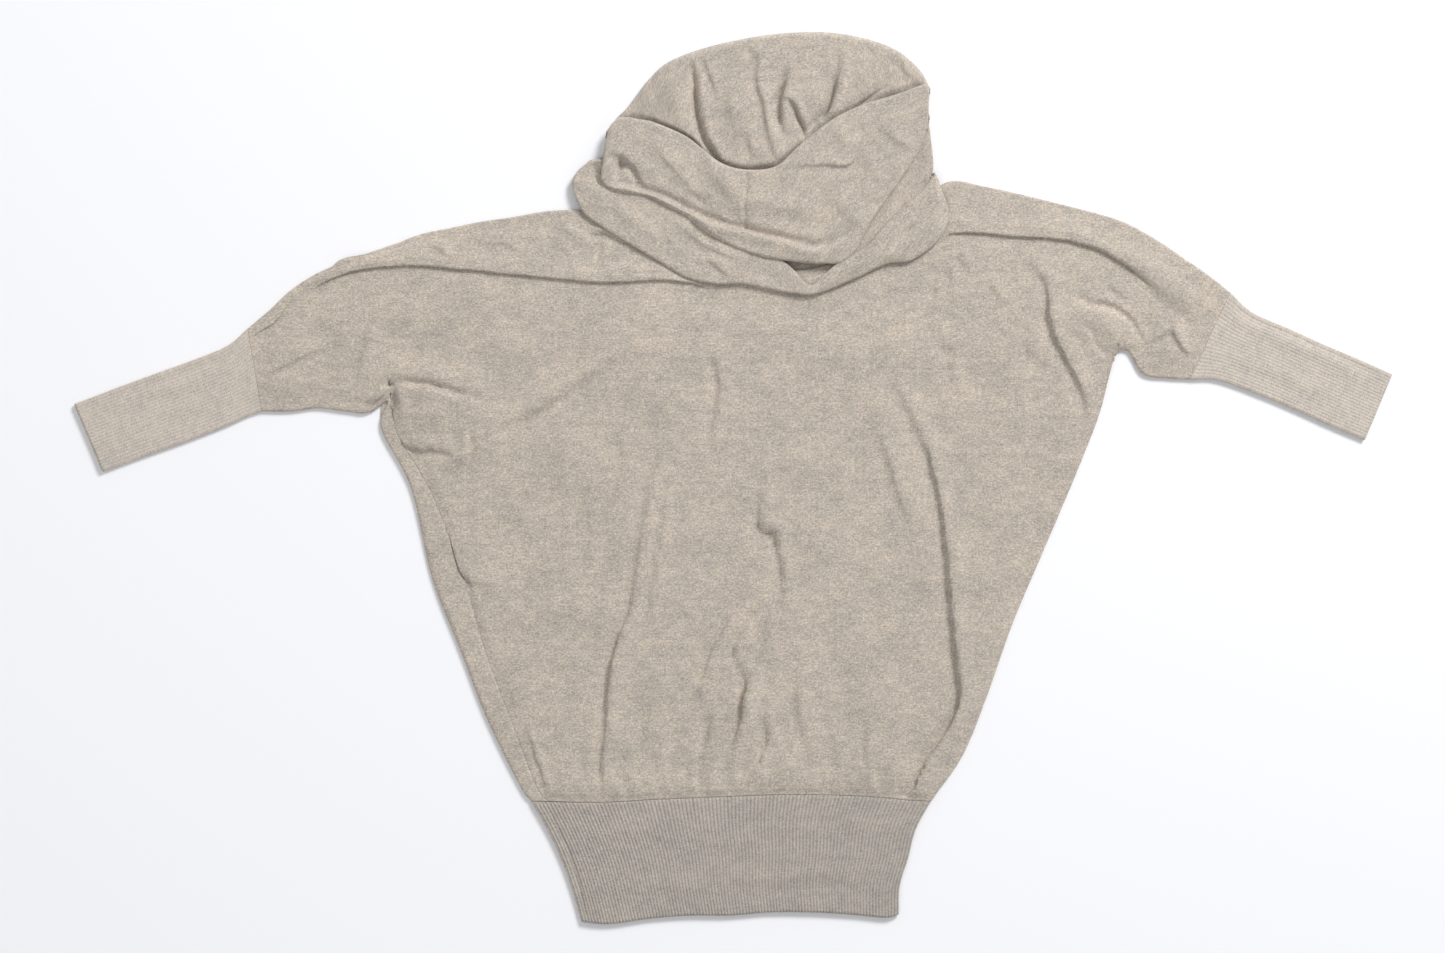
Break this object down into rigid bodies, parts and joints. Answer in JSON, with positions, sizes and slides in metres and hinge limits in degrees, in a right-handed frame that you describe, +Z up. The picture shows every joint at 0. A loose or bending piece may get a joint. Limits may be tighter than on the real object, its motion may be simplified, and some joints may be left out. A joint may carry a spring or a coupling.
{
  "type": "sweater",
  "caption": "Batwing sweater in fine heathered knit, laid flat, with ribbed hem and cuffs and a large folded cowl collar.",
  "frame": {"origin": "on the surface that the sweater lies on, under the middle of its outline", "axes": "+X across the garment from cuff to cuff, +Y up the body towards the collar, +Z up out of the surface"},
  "size_m": [1.237, 0.8365, 0.0159],
  "materials": {
    "body_knit": "matt heathered beige and grey fine knit with a short nap",
    "rib_knit": "matt heathered grey-beige one by one rib",
    "collar_knit": "matt heathered beige fine knit with a short nap"
  },
  "bodies": {
    "root": {"back_panel": "body_knit", "front_panel": "body_knit", "hem_rib": "rib_knit", "cuff_left": "rib_knit", "cuff_right": "rib_knit", "collar_back": "collar_knit", "collar_band": "collar_knit", "collar_fold": "collar_knit", "collar_middle": "collar_knit"}
  },
  "joints": []
}
